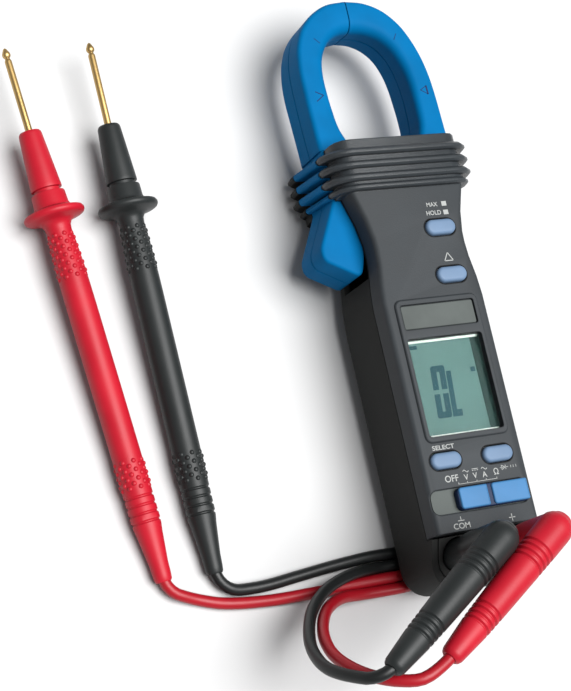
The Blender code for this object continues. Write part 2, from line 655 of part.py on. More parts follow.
# lead routes: from the plug's tail down to the table and under the case, and from the
# bundle under the case out to the probe's tail
LOOPS = {
    "black": [(-59.0, -119.6, 56.3), (-62.4, -117.6, 50.0), (-63.0, -112.6, 41.5), (-60.9, -105.7, 32.5),
              (-56.9, -99.2, 23.8), (-50.2, -92.6, 15.3), (-41.5, -87.2, 9.2), (-32.5, -84.2, 5.9),
              (-25.0, -83.1, 3.4), (-19.5, -82.9, 1.9), (-13.9, -82.9, 1.85)],
    "red": [(-41.5, -120.3, 57.2), (-47.2, -119.4, 53.6), (-51.8, -116.9, 48.5), (-54.8, -113.1, 42.0),
            (-55.9, -108.3, 34.5), (-54.2, -102.9, 27.0), (-49.8, -97.4, 19.0), (-43.5, -92.9, 11.5),
            (-35.5, -90.3, 5.6), (-27.5, -90.1, 2.6), (-20.5, -90.1, 1.85), (-13.9, -90.1, 1.85)],
}
RUNS = {
    "black": [(-70.6, -80.4, 1.9), (-66.0, -82.1, 1.85), (-58.0, -82.4, 1.85), (-46.0, -81.2, 1.85),
              (-34.0, -80.0, 1.85), (-22.0, -79.2, 1.85), (-13.9, -79.2, 1.85)],
    "red": [(-86.2, -80.2, 1.9), (-80.5, -83.2, 1.85), (-72.0, -85.6, 1.85), (-58.0, -86.9, 1.85),
            (-44.0, -87.0, 1.85), (-30.0, -86.7, 1.85), (-20.0, -86.5, 1.85), (-13.9, -86.5, 1.85)],
}
BUNDLE = [(-13.5, -92.4, 3), (20.0, -92.4, 8), (33.6, -80, 8), (33.6, 16, 10), (22.0, 25.6, 8),
          (4.0, 25.6, 12), (-13.5, 6, 12)]
PROBES = {"black": ((-73.4, -75.0, 3.3), (-0.0535, 0.9985)), "red": ((-89.7, -74.8, 3.3), (-0.1185, 0.993))}
PROBE_RISE = math.radians(3.1)


def build_leads(plug_ends):
    """Visible stretches of both leads, and the plain solid of the bundle under the case."""
    for colour in ("black", "red"):
        end, heading = plug_ends[colour]
        loop = [end, end + heading * 4.0] + LOOPS[colour]
        tube(f"lead_{colour}_plug", smooth_route(loop, LEAD_STEP), LEAD_R, colour)
        tail, along = probe_frame(colour)
        run = [tail - along * LEAD_GAP, tail - along * 4.0] + RUNS[colour]
        tube(f"lead_{colour}_probe", smooth_route(run, LEAD_STEP), LEAD_R, colour)
    prism("lead_bundle", rounded(BUNDLE), 0.0, 3.7, "black", 0.0)


def probe_frame(colour):
    """Tail end of a probe and the direction towards its tip."""
    tail, heading = PROBES[colour]
    flat = Vector((*heading, 0)).normalized()
    return Vector(tail), flat * math.cos(PROBE_RISE) + Vector((0, 0, math.sin(PROBE_RISE)))


def build_probe(colour):
    """Handle with a finger flange, and its brass tip."""
    tail, along = probe_frame(colour)
    handle = [(0, 0), (2.6, 0), (2.9, 4.0), (3.9, 13.0), (4.4, 17.0), (4.45, 40.0), (4.5, 84.0), (4.3, 96.0),
              (3.8, 104.0), (3.8, 107.5), (6.5, 109.4), (9.1, 110.8), (9.3, 111.8), (9.1, 112.8),
              (5.4, 113.6), (5.2, 118.0), (4.5, 118.6), (4.5, 121.0), (3.3, PROBE_LENGTH), (0, PROBE_LENGTH)]
    smooth(turned(f"probe_{colour}", handle, tail, along, colour, 14))
    base = PROBE_LENGTH + GAP
    tip = [(0, base), (1.6, base), (1.6, base + 1.2), (1.05, base + 2.0), (1.05, base + 22.3),
           (0.75, base + 22.9), (1.25, base + 23.7), (1.25, base + 24.5), (0.5, base + 26.0),
           (0, base + 26.2)]
    smooth(turned(f"probe_tip_{colour}", tip, tail, along, "brass", 8))


def main():
    for obj in list(bpy.data.objects):
        bpy.data.objects.remove(obj)
    build_front_case()
    build_rear_case()
    build_case_hardware()
    build_display()
    build_board()
    build_buttons()
    build_slide_switch()
    build_power()
    build_fixed_jaw()
    build_coil()
    build_lever()
    build_pivot()
    build_terminals()
    plug_ends = {colour: build_plug(colour) for colour in ("black", "red")}
    build_leads(plug_ends)
    for colour in ("black", "red"):
        build_probe(colour)


main()
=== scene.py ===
"""Looks of the clamp meter: materials, leads, display, markings, light and camera."""
import json
import math

import bmesh
import bpy
from mathutils import Matrix, Vector

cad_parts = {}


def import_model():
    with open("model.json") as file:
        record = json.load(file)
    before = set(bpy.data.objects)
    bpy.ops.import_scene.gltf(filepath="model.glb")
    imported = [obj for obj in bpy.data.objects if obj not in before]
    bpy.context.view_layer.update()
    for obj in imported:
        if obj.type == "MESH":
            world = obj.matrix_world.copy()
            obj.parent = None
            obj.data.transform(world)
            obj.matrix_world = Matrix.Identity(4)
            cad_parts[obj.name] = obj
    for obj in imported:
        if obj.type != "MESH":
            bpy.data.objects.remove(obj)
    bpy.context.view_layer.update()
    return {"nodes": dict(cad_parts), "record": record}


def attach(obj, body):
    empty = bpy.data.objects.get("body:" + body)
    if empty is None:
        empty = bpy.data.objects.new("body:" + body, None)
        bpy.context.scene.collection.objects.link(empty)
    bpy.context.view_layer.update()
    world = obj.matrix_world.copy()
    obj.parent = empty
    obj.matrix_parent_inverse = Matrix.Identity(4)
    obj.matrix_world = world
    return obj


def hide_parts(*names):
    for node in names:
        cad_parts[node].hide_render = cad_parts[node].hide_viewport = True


MM = 0.001
BODY_X = 2.15                 # centre line of the meter's body, in mm
CASE_TOP_Z = 35.5             # the flat panel of the front case
COLLAR_MIDDLE, COLLAR_HALF = 35.2, 8.4       # along the body
LEAD_R = 1.8
LEAD_IN_HANDLE = 130.0
LEAD_BEND = 7.8               # radius of a lead's bends at its plug and its probe
COLUMN_STEP = 2 * LEAD_R      # the folded strands lie side by side
HIDDEN_Z = 2.1                # centre height of the strands under the case


def srgb(r, g, b):
    """Linear colour from 0-255 display values."""
    out = []
    for value in (r, g, b):
        c = value / 255
        out.append(c / 12.92 if c <= 0.04045 else ((c + 0.055) / 1.055) ** 2.4)
    return (*out, 1.0)


# ---- materials ----
MOTTLE_SCALE = 90
MOTTLE_STEPS = (0.35, 0.65)   # noise values of the darkest and the lightest tone
WORN_EDGE = (0.53, 0.62)      # pointiness where an edge begins to look worn, and where it is fully worn
ROUGH_SPREAD = 0.07
GRAIN_DEPTH = 0.0001          # metres


def finish(name, colour, rough, metal=0.0, grain=(1800, 0.06), mottle=0.12, wear=0.0, gloss=0.5,
           round_edge=0.0, collar_rough=None):
    """Moulded or metal finish: colour mottle, roughness variation, fine grain and worn edges."""
    m = bpy.data.materials.new(name)
    m.use_nodes = True
    nodes, links = m.node_tree.nodes, m.node_tree.links
    bsdf = nodes["Principled BSDF"]
    bsdf.inputs["Metallic"].default_value = metal
    bsdf.inputs["Specular IOR Level"].default_value = gloss
    place = nodes.new("ShaderNodeTexCoord")
    broad = nodes.new("ShaderNodeTexNoise")
    broad.inputs["Scale"].default_value = MOTTLE_SCALE
    broad.inputs["Detail"].default_value = 5
    links.new(place.outputs["Object"], broad.inputs["Vector"])
    ramp = nodes.new("ShaderNodeValToRGB")
    dark = tuple(c * (1 - mottle) for c in colour[:3])
    light = tuple(min(1, c * (1 + mottle)) for c in colour[:3])
    for stop, at, tone in zip(ramp.color_ramp.elements, MOTTLE_STEPS, (dark, light)):
        stop.position, stop.color = at, (*tone, 1)
    links.new(broad.outputs["Fac"], ramp.inputs["Fac"])
    colour_out = ramp.outputs["Color"]
    if wear:
        geometry = nodes.new("ShaderNodeNewGeometry")
        edge = nodes.new("ShaderNodeMapRange")
        edge.inputs["From Min"].default_value, edge.inputs["From Max"].default_value = WORN_EDGE
        edge.inputs["To Max"].default_value = wear
        links.new(geometry.outputs["Pointiness"], edge.inputs["Value"])
        mix = nodes.new("ShaderNodeMix")
        mix.data_type = "RGBA"
        links.new(edge.outputs["Result"], mix.inputs["Factor"])
        links.new(colour_out, mix.inputs["A"])
        mix.inputs["B"].default_value = (*[min(1, c * 1.8 + 0.05) for c in colour[:3]], 1)
        colour_out = mix.outputs["Result"]
    links.new(colour_out, bsdf.inputs["Base Color"])
    spread = nodes.new("ShaderNodeMapRange")
    spread.inputs["To Min"].default_value = max(0.03, rough - ROUGH_SPREAD)
    spread.inputs["To Max"].default_value = min(1, rough + ROUGH_SPREAD)
    links.new(broad.outputs["Fac"], spread.inputs["Value"])
    rough_out = spread.outputs["Result"]
    if collar_rough:
        rough_out = collar_band(nodes, links, place, rough_out, collar_rough)
    links.new(rough_out, bsdf.inputs["Roughness"])
    fine = nodes.new("ShaderNodeTexNoise")
    fine.inputs["Scale"].default_value = grain[0]
    fine.inputs["Detail"].default_value = 3
    links.new(place.outputs["Object"], fine.inputs["Vector"])
    bump = nodes.new("ShaderNodeBump")
    bump.inputs["Strength"].default_value = grain[1] * 4
    bump.inputs["Distance"].default_value = GRAIN_DEPTH
    links.new(fine.outputs["Fac"], bump.inputs["Height"])
    if round_edge:
        bevel = nodes.new("ShaderNodeBevel")
        bevel.samples = 6
        bevel.inputs["Radius"].default_value = round_edge * MM
        links.new(bevel.outputs["Normal"], bump.inputs["Normal"])
    links.new(bump.outputs["Normal"], bsdf.inputs["Normal"])
    return m


def collar_band(nodes, links, place, rough_out, shiny):
    """Roughness that drops to shiny on the rubbery ribs between the collar's two ends."""
    split = nodes.new("ShaderNodeSeparateXYZ")
    links.new(place.outputs["Object"], split.inputs["Vector"])
    inside = nodes.new("ShaderNodeMath")
    inside.operation = "COMPARE"
    inside.inputs[1].default_value = COLLAR_MIDDLE * MM
    inside.inputs[2].default_value = COLLAR_HALF * MM
    links.new(split.outputs["Y"], inside.inputs[0])
    mix = nodes.new("ShaderNodeMix")
    links.new(inside.outputs["Value"], mix.inputs["Factor"])
    links.new(rough_out, mix.inputs["A"])
    mix.inputs["B"].default_value = shiny
    return mix.outputs["Result"]


def build_materials():
    """Every finish by its name; the display colours are what each surface shows in plain light, except those
    that stand in for painted shade, painted shadow or painted highlight.
    """
    return {
        "case": finish("case", srgb(41, 45, 48), 0.62, grain=(2600, 0.16), mottle=0.1, wear=0.12, gloss=0.3,
                       round_edge=0.5, collar_rough=0.36),
        # Darker, less glossy copy of the case finish for the rear shell and terminal block: painted shade.
        "case_painted_shade": finish("case_painted_shade", srgb(36, 37, 36), 0.65, grain=(2600, 0.16), mottle=0.1, wear=0.15,
                            gloss=0.1, round_edge=0.5),
        "jaw": finish("jaw", srgb(0, 92, 142), 0.55, grain=(2200, 0.05), mottle=0.06, wear=0.06, gloss=0.04,
                      round_edge=0.6),
        "button": finish("button", srgb(94, 116, 142), 0.5, mottle=0.05, gloss=0.25, round_edge=0.4),
        "knob": finish("knob", srgb(54, 106, 150), 0.5, mottle=0.05, gloss=0.25, round_edge=0.3),
        # Darker copy of the knob's blue for the slide's base: painted shade on the knob's sides and in the
        # groove between its pads.
        "knob_painted_shade": finish("knob_painted_shade", srgb(8, 30, 62), 0.5, mottle=0.05, gloss=0.25, round_edge=0.3),
        "plate": finish("plate", srgb(72, 77, 75), 0.55, gloss=0.2, round_edge=0.1),
        "print": finish("print", srgb(152, 154, 152), 0.6, grain=(900, 0.02), mottle=0.08, gloss=0.2),
        # Darker copy of the jaw's blue for the marks moulded in the jaws: painted shade.
        "jaw_mark_shade": finish("jaw_mark_shade", srgb(4, 30, 74), 0.6, mottle=0.05, gloss=0.2),
        "segment": finish("segment", srgb(18, 62, 72), 0.4, grain=(600, 0.01), mottle=0.04, gloss=0.2),
        # Dark green band at the display's right edge: painted shadow of the window's right wall on the glass.
        "painted_shadow": finish("painted_shadow", srgb(22, 48, 46), 0.45, grain=(600, 0.01), mottle=0.06, gloss=0.2),
        # Near-white strips along the display window's top and bottom edges: painted highlight.
        "lip": finish("lip", srgb(200, 206, 202), 0.3, mottle=0.03),
        # Near-black: the tie's own colour, and also the painted shade round the buttons.
        "gasket": finish("gasket", srgb(9, 10, 12), 0.7, mottle=0.1, gloss=0.2),
        "screen": finish("screen", srgb(75, 105, 103), 0.4, grain=(600, 0.01), mottle=0.03, gloss=0.2),
        "backlight": finish("backlight", srgb(205, 210, 205), 0.5),
        "board": finish("board", srgb(30, 95, 55), 0.4),
        "steel": finish("steel", srgb(180, 180, 182), 0.3, metal=1.0),
        "core": finish("core", srgb(110, 112, 118), 0.45, metal=1.0),
        "copper": finish("copper", srgb(200, 120, 70), 0.35, metal=1.0),
        "brass": finish("brass", srgb(186, 156, 102), 0.42, metal=1.0, grain=(900, 0.04), mottle=0.1),
        "silicone": finish("silicone", srgb(120, 122, 125), 0.7),
        "cell": finish("cell", srgb(80, 90, 105), 0.35),
        "red": finish("red", srgb(166, 16, 34), 0.46, grain=(1500, 0.05), mottle=0.06, gloss=0.3),
        "black": finish("black", srgb(30, 33, 33), 0.46, grain=(1500, 0.05), mottle=0.1, gloss=0.3),
        "lead_red": finish("lead_red", srgb(148, 12, 26), 0.42, mottle=0.05, gloss=0.35),
        "lead_black": finish("lead_black", srgb(20, 22, 22), 0.42, mottle=0.08, gloss=0.35),
    }


def window_material():
    """Clear acrylic with faint moulding waviness and patches of wear."""
    m = bpy.data.materials.new("window")
    m.use_nodes = True
    nodes, links = m.node_tree.nodes, m.node_tree.links
    bsdf = nodes["Principled BSDF"]
    bsdf.inputs["Base Color"].default_value = (0.95, 0.98, 0.96, 1)
    bsdf.inputs["Transmission Weight"].default_value = 1.0
    bsdf.inputs["IOR"].default_value = 1.1
    place = nodes.new("ShaderNodeTexCoord")
    patches = nodes.new("ShaderNodeTexNoise")
    patches.inputs["Scale"].default_value = 160
    patches.inputs["Detail"].default_value = 6
    links.new(place.outputs["Object"], patches.inputs["Vector"])
    spread = nodes.new("ShaderNodeMapRange")
    spread.inputs["To Min"].default_value, spread.inputs["To Max"].default_value = 0.02, 0.08
    links.new(patches.outputs["Fac"], spread.inputs["Value"])
    links.new(spread.outputs["Result"], bsdf.inputs["Roughness"])
    bump = nodes.new("ShaderNodeBump")
    bump.inputs["Strength"].default_value, bump.inputs["Distance"].default_value = 0.05, GRAIN_DEPTH
    links.new(patches.outputs["Fac"], bump.inputs["Height"])
    links.new(bump.outputs["Normal"], bsdf.inputs["Normal"])
    return m


# ---- leads ----
def filled_in(rows, per):
    """Rows of numbers with smooth steps between them, per steps to each gap, even where gaps are unequal."""
    rows = [Vector(r) for r in rows]
    ends = [rows[0] * 2 - rows[1]] + rows + [rows[-1] * 2 - rows[-2]]
    dense = []
    for before, a, b, after in zip(ends, ends[1:], ends[2:], ends[3:]):
        d0, d1, d2 = (a - before).length ** 0.5, (b - a).length ** 0.5, (after - b).length ** 0.5
        leave = ((a - before) / d0 - (b - before) / (d0 + d1) + (b - a) / d1) * d1
        arrive = ((b - a) / d1 - (after - a) / (d1 + d2) + (after - b) / d2) * d1
        for k in range(per):
            t = k / per
            dense.append(a * (2 * t ** 3 - 3 * t * t + 1) + leave * (t ** 3 - 2 * t * t + t)
                         + b * (3 * t * t - 2 * t ** 3) + arrive * (t ** 3 - t * t))
    return dense + [rows[-1]]


def smooth_route(points, spacing):
    """Evenly spaced points on a smooth curve through a route's own points."""
    dense = filled_in(points, 20)
    result, travelled = [dense[0]], 0.0
    for p, q in zip(dense, dense[1:]):
        travelled += (q - p).length
        if travelled >= spacing:
            result.append(q)
            travelled = 0.0
    if (result[-1] - dense[-1]).length > 0.3:
        result.append(dense[-1])
    return result


def arc(centre, radius, start, end, step=8):
    """Points of a flat arc under the case, angles in degrees."""
    count = max(2, int(abs(end - start) / step))
    return [(centre[0] + radius * math.cos(math.radians(start + (end - start) * k / count)),
             centre[1] + radius * math.sin(math.radians(start + (end - start) * k / count)), HIDDEN_Z)
            for k in range(count + 1)]


QUARTER = (-14.0, -71.9)      # common centre of the strands' first bend under the case
TURN = (11.6, 5.0)            # common centre of their turn at the top
BULB_R = 7.4


def strand_in(order):
    """One strand from the case's left edge up, over and down; order 0 is the innermost bend."""
    radius = BULB_R + order * COLUMN_STEP
    outer = BULB_R + (3 - order) * COLUMN_STEP
    column = QUARTER[0] + radius
    points = arc(QUARTER, radius, -90, 0)
    points += [(column, y, HIDDEN_Z) for y in (-60, -40, -20, -5)]
    return points + arc(TURN, outer, 180, 0), TURN[0] + outer


def folded(order_a, order_b, closing_y):
    """The hidden length of one lead: in on strand a, out on strand b, closed by a teardrop."""
    first, x_a = strand_in(order_a)
    second, x_b = strand_in(order_b)
    centre = (x_b - BULB_R, closing_y)
    shift = x_a - (centre[0] - BULB_R)
    angle = math.degrees(math.acos(1 - shift / (2 * BULB_R)))
    rise = BULB_R * math.sin(math.radians(angle))
    lower = arc((centre[0], closing_y), BULB_R, 180, 180 - angle)
    upper = arc((x_a - BULB_R, closing_y + 2 * rise), BULB_R, -angle, 0)
    top = closing_y + 2 * rise
    down = [(x_a, y, HIDDEN_Z) for y in (-5, -15) if y > top + 6]
    side = [(x_b, y, HIDDEN_Z) for y in range(int(closing_y) + 8, -4, 12)]
    neck = list(reversed(upper)) + list(reversed(lower))[1:]
    return first + down + neck + arc(centre, BULB_R, 180, 360)[1:] + side + list(reversed(second))


# from a lead's first bend at its plug, down and under the case
LOOPS = {
    "black": [(-60.6, -114.2, 46.3), (-62.3, -111.3, 40.9), (-61.2, -105.7, 32.5),
              (-56.9, -99.2, 23.8), (-50.2, -92.6, 15.3), (-41.5, -87.2, 9.2), (-32.5, -84.2, 5.9),
              (-25.0, -83.1, 3.4), (-19.5, -82.9, 1.9)],
    "red": [(-41.5, -120.3, 56.4), (-47.2, -119.4, 53.3), (-51.8, -116.9, 48.5), (-54.8, -113.1, 42.0),
            (-55.9, -108.3, 34.5), (-54.2, -102.9, 27.0), (-49.8, -97.4, 19.0), (-43.5, -92.9, 11.5),
            (-35.5, -90.3, 5.6), (-27.5, -90.1, 2.6), (-20.5, -90.1, 1.95)],
}
# from a lead's bend at its probe, along the table and under the case
RUNS = {
    "black": [(-58.0, -82.4, 1.85), (-46.0, -81.2, 1.85),
              (-34.0, -80.0, 1.85), (-22.0, -79.2, 1.95)],
    "red": [(-80.3, -82.85, 1.85), (-72.0, -85.4, 1.85), (-58.0, -86.9, 1.85),
            (-44.0, -87.0, 1.85), (-30.0, -86.7, 1.85), (-20.0, -86.5, 1.95)],
}
PLUG_TURN = math.radians(215.0)
PLUG_HEADING = Vector((math.cos(PLUG_TURN), math.sin(PLUG_TURN), 0))
SOCKET_HALF = 9.05            # half the distance between the two sockets
PLUG_HEADS = {"black": (BODY_X - SOCKET_HALF, -85.7, 57.0), "red": (BODY_X + SOCKET_HALF, -85.7, 57.0)}
PLUG_LENGTH = 52.6
LEAD_INSIDE = 1.2             # how far inside the end of its plug a lead starts
# each probe's tail end, and its heading along the table
PROBES = {"black": ((-73.4, -75.0, 3.3), (-0.0535, 0.9985)), "red": ((-89.7, -74.8, 3.3), (-0.1185, 0.993))}
PROBE_RISE = math.radians(3.1)
TIE_SPAN = (16.6, 32.2)       # across the four strands
STRANDS = {"black": (1, 0, -65.0), "red": (3, 2, -35.0)}      # loop strand, probe strand, where they join


def probe_frame(colour):
    """Tail end of a probe and the direction towards its tip."""
    tail, heading = PROBES[colour]
    flat = Vector((*heading, 0)).normalized()
    return Vector(tail), flat * math.cos(PROBE_RISE) + Vector((0, 0, math.sin(PROBE_RISE)))


def bend(start, leave, arrive, radius, step=12):
    """Points of a round bend that leaves start along one direction and ends along another."""
    arrive = Vector(arrive).normalized()
    side = (arrive - leave * leave.dot(arrive)).normalized()
    total = leave.angle(arrive)
    count = round(math.degrees(total) / step)
    turns = [total * k / count for k in range(1, count + 1)]
    return [start + (leave * math.sin(turn) + side * (1 - math.cos(turn))) * radius for turn in turns]


BLACK_FALLS = (-0.46, 0.36, -0.81)      # the way the black lead falls once it has turned out of its plug
RED_STRAIGHT = 3.0                      # the red lead comes straight out of its plug for this far
TAIL_BENDS = {"black": (1.0, -0.03, -0.12), "red": (0.951, -0.309, -0.1)}      # the way each leaves its probe
HANDLE_STOPS = (0.0, 4.0, 12.0, 50.0, 90.0, LEAD_IN_HANDLE)


def lead_route(colour):
    """Where a lead leaves its plug, and the points it follows from there to the probe's tip."""
    start = Vector(PLUG_HEADS[colour]) + PLUG_HEADING * (PLUG_LENGTH - LEAD_INSIDE)
    tail, along = probe_frame(colour)
    if colour == "black":
        route = [start] + bend(start, PLUG_HEADING, BLACK_FALLS, LEAD_BEND)
    else:
        route = [start, start + PLUG_HEADING * RED_STRAIGHT]
    route += LOOPS[colour] + folded(*STRANDS[colour]) + list(reversed(RUNS[colour]))
    route += list(reversed(bend(tail, -along, TAIL_BENDS[colour], LEAD_BEND)))
    route += [tail + along * reach for reach in HANDLE_STOPS]
    return start, smooth_route(route, 1.8)


def build_lead(colour, mats):
    """One lead as one curve: from the plug, under the case and back, to the probe."""
    start, points = lead_route(colour)
    curve = bpy.data.curves.new(f"lead_{colour}", "CURVE")
    curve.dimensions = "3D"
    curve.bevel_depth = LEAD_R * MM
    curve.bevel_resolution = 5
    curve.use_fill_caps = True
    line = curve.splines.new("POLY")
    line.points.add(len(points) - 1)
    for point, place in zip(line.points, points):
        point.co = (*(place * MM), 1.0)
    line.use_smooth = True
    lead = bpy.data.objects.new(f"lead_{colour}", curve)
    bpy.context.collection.objects.link(lead)
    curve.materials.append(mats[f"lead_{colour}"])
    nodes = [f"lead_{colour}_plug", f"lead_{colour}_probe"]
    if colour == "black":
        nodes.append("lead_bundle")
    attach(lead, "root")
    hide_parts(*nodes)


# ---- pieces made here ----
def add_piece(name, bm, look, body="root", angle=32.0):
    """Close a bmesh in mm into a piece in metres that rides on a body."""
    bmesh.ops.recalc_face_normals(bm, faces=bm.faces)
    bmesh.ops.scale(bm, vec=(MM, MM, MM), verts=bm.verts)
    mesh = bpy.data.meshes.new(name)
    bm.to_mesh(mesh)
    bm.free()
    obj = bpy.data.objects.new(name, mesh)
    bpy.context.collection.objects.link(obj)
    mesh.materials.append(look)
    mesh.shade_smooth()
    mesh.set_sharp_from_angle(angle=math.radians(angle))
    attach(obj, body)
    return obj


def turned(name, profile, origin, axis, look, segments=48):
    """Solid of revolution: profile is (radius, distance along the axis), both ends on the axis."""
    bm = bmesh.new()
    place = Matrix.Translation(origin) @ Vector(axis).to_track_quat("Z", "Y").to_matrix().to_4x4()
    rows = []
    for radius, along in profile:
        count = segments if radius > 0 else 1
        rows.append([bm.verts.new(place @ Vector((radius * math.cos(2 * math.pi * k / segments),
                                                  radius * math.sin(2 * math.pi * k / segments), along)))
                     for k in range(count)])
    for low, high in zip(rows, rows[1:]):
        for k in range(segments):
            n = (k + 1) % segments
            ring = [low[k % len(low)], low[n % len(low)], high[n % len(high)], high[k % len(high)]]
            bm.faces.new(list(dict.fromkeys(ring)))
    return add_piece(name, bm, look)


def grooved(profile, grooves, depth, width):
    """Insert round grooves in a turned profile at distances along its axis."""
    def radius_at(along):
        for (r0, a0), (r1, a1) in zip(profile, profile[1:]):
            if a0 <= along <= a1 and a1 > a0:
                return r0 + (r1 - r0) * (along - a0) / (a1 - a0)
        return profile[-1][0]
    extra = []
    for at in grooves:
        for offset, share in ((-width, 0), (-0.6 * width, 0.55), (-0.2 * width, 1), (0.2 * width, 1),
                              (0.6 * width, 0.55), (width, 0)):
            extra.append((radius_at(at + offset) - depth * share, at + offset))
    kept = [p for p in profile if not any(abs(p[1] - g) < width for g in grooves)]
    return [profile[0]] + sorted(kept[1:-1] + extra, key=lambda p: p[1]) + [profile[-1]]


PROBE_LENGTH = 137.9
# radius and distance along the handle: tail cone, barrel, finger flange, notch, nose
PROBE_PROFILE = [
    (0, -1.6), (2.25, -1.6), (2.6, -1.0), (2.75, 0.6), (2.9, 4.0), (3.4, 8.5), (3.9, 13.0), (4.25, 15.2),
    (4.4, 17.0), (4.43, 28.0), (4.45, 40.0), (4.48, 60.0), (4.5, 84.0), (4.46, 90.0), (4.3, 96.0),
    (4.05, 100.5), (3.9, 104.0), (3.85, 106.5), (4.0, 107.9), (4.6, 109.0), (6.0, 109.8), (8.2, 110.3),
    (8.9, 110.7), (9.25, 111.3), (9.25, 111.9), (8.9, 112.5), (7.0, 113.1), (5.7, 113.7), (5.3, 114.7),
    (5.15, 118.1), (5.0, 118.4), (3.9, 118.6), (3.9, 119.5), (4.7, 119.7), (4.75, 120.1), (4.7, 120.8),
    (3.55, 136.9), (3.4, 137.5), (3.1, PROBE_LENGTH), (0, PROBE_LENGTH)]
PROBE_GROOVES = (16.5, 19.0, 21.5, 24.0)
# radius and distance along the brass tip, ending in a small arrow point
TIP_PROFILE = [(0, 0), (1.1, 0), (1.1, 22.5), (1.0, 22.9), (0.78, 23.3), (0.78, 23.6), (1.05, 23.9),
               (1.25, 24.3), (1.3, 24.7), (1.2, 25.2), (0.55, 26.5), (0.15, 26.85), (0, 26.9)]
TIP_GAP = 0.1
# for each patch of the grip: where its first row is, how many rows, radius at its first and last row
GRIP_ROWS = ((26.8, 7, 4.05, 4.05), (92.0, 11, 4.0, 3.45))
GRIP_STEP = 1.3               # between rows
GRIP_ROUND = 8                # dots in a row
DOT_R = 0.85


def build_probe(colour, mats):
    """Handle with ring grooves, finger flange and a dotted grip, and its brass tip."""
    tail, along = probe_frame(colour)
    look = mats[colour]
    profile = grooved(PROBE_PROFILE, PROBE_GROOVES, 0.35, 0.5)
    handle = turned(f"handle_{colour}", profile, tail, along, look)
    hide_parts(f"probe_{colour}")
    tip = [(radius, PROBE_LENGTH + TIP_GAP + at) for radius, at in TIP_PROFILE]
    rod = turned(f"tip_{colour}", tip, tail, along, mats["brass"], segments=24)
    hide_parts(f"probe_tip_{colour}")
    dots = build_grip(colour, tail, along, look)
    return [handle, rod, dots]


def build_grip(colour, tail, along, look):
    """The dots of the grip, in rows set half a step apart."""
    bm = bmesh.new()
    place = Matrix.Translation(tail) @ along.to_track_quat("Z", "Y").to_matrix().to_4x4()
    for first, rows, radius_from, radius_to in GRIP_ROWS:
        for row in range(rows):
            radius = radius_from + (radius_to - radius_from) * row / (rows - 1)
            for k in range(GRIP_ROUND):
                turn = 2 * math.pi * (k + 0.5 * (row % 2)) / GRIP_ROUND
                centre = Vector((radius * math.cos(turn), radius * math.sin(turn), first + GRIP_STEP * row))
                spot = Matrix.Translation(place @ centre)
                bmesh.ops.create_icosphere(bm, subdivisions=2, radius=DOT_R, matrix=spot)
    dots = add_piece(f"grip_dots_{colour}", bm, look, angle=180)
    return dots


# radius and distance along the grip, from the domed head to the tail
PLUG_PROFILE = [
    (0, -3.6), (1.6, -3.45), (3.0, -2.95), (4.1, -2.1), (4.9, -0.9), (5.25, 0.6), (5.3, 2.0), (5.2, 9.0),
    (5.05, 15.0), (4.9, 20.0), (4.7, 28.0), (4.5, 34.0), (4.3, 40.0), (4.15, 42.0), (3.8, 46.0),
    (3.3, PLUG_LENGTH - 0.8), (2.9, PLUG_LENGTH + 0.2), (2.2, PLUG_LENGTH + 0.8), (0, PLUG_LENGTH + 0.8)]
PLUG_GROOVES = (10.3, 12.2, 14.1, 16.0, 35.2, 37.1, 39.0, 40.9)
# radius and distance down the upright shroud
SHROUD_PROFILE = [(0, -4.3), (1.9, -4.1), (3.3, -3.2), (4.2, -1.6), (4.5, 0.5), (4.7, 6.0), (4.75, 16.5),
                  (4.7, 18.5), (4.4, 19.5), (4.4, 40.5), (4.1, 41.1), (0, 41.1)]


def build_plug(colour, mats):
    """Right-angle plug: ringed horizontal grip with a domed head over an upright shroud."""
    head, look = Vector(PLUG_HEADS[colour]), mats[colour]
    profile = grooved(PLUG_PROFILE, PLUG_GROOVES, 0.5, 0.6)
    grip = turned(f"plug_grip_{colour}", profile, head, PLUG_HEADING, look)
    shroud = turned(f"plug_shroud_{colour}", SHROUD_PROFILE, head, (0, 0, -1), look)
    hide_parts(f"plug_{colour}")
    return [grip, shroud]


# ---- jaws ----
JAW_FRONT_Z, JAW_REAR_Z, JAW_PART_Z = 27.3, 9.6, 19.1
JAW_TAPER = 2.8               # how much nearer the front the rear face comes at the tips
JAW_LIFT = 1.4                # and how much more near the collar, to clear the case as the arm turns
PART_GROOVE = 0.25            # half the height of the parting groove
PART_DEPTH = 0.3
# stations from the collar to the tip: outer x, y and inner x, y, measured from the body's centre line
FIXED_ARM = [(23.9, 43.9, 13.0, 43.9), (23.6, 52.0, 15.0, 50.5), (23.3, 60.0, 15.4, 57.0),
             (22.7, 67.0, 15.2, 63.0), (21.4, 73.5, 14.6, 68.2), (19.2, 79.7, 13.3, 73.2),
             (16.0, 85.4, 11.0, 77.8), (11.0, 90.3, 7.4, 81.2), (4.8, 93.1, 3.0, 83.0),
             (-1.6, 93.9, -1.6, 83.4)]
MOVING_ARM = [(-22.4, 43.9, -10.4, 43.9), (-22.8, 52.0, -13.3, 50.5), (-23.0, 60.0, -14.2, 57.0),
              (-23.1, 67.0, -14.5, 63.0), (-22.8, 73.2, -14.4, 68.6), (-21.6, 79.2, -13.6, 73.4),
              (-18.9, 85.0, -11.8, 77.6), (-14.2, 89.8, -9.0, 80.9), (-8.4, 92.9, -5.6, 82.8),
              (-1.9, 93.9, -1.9, 83.4)]


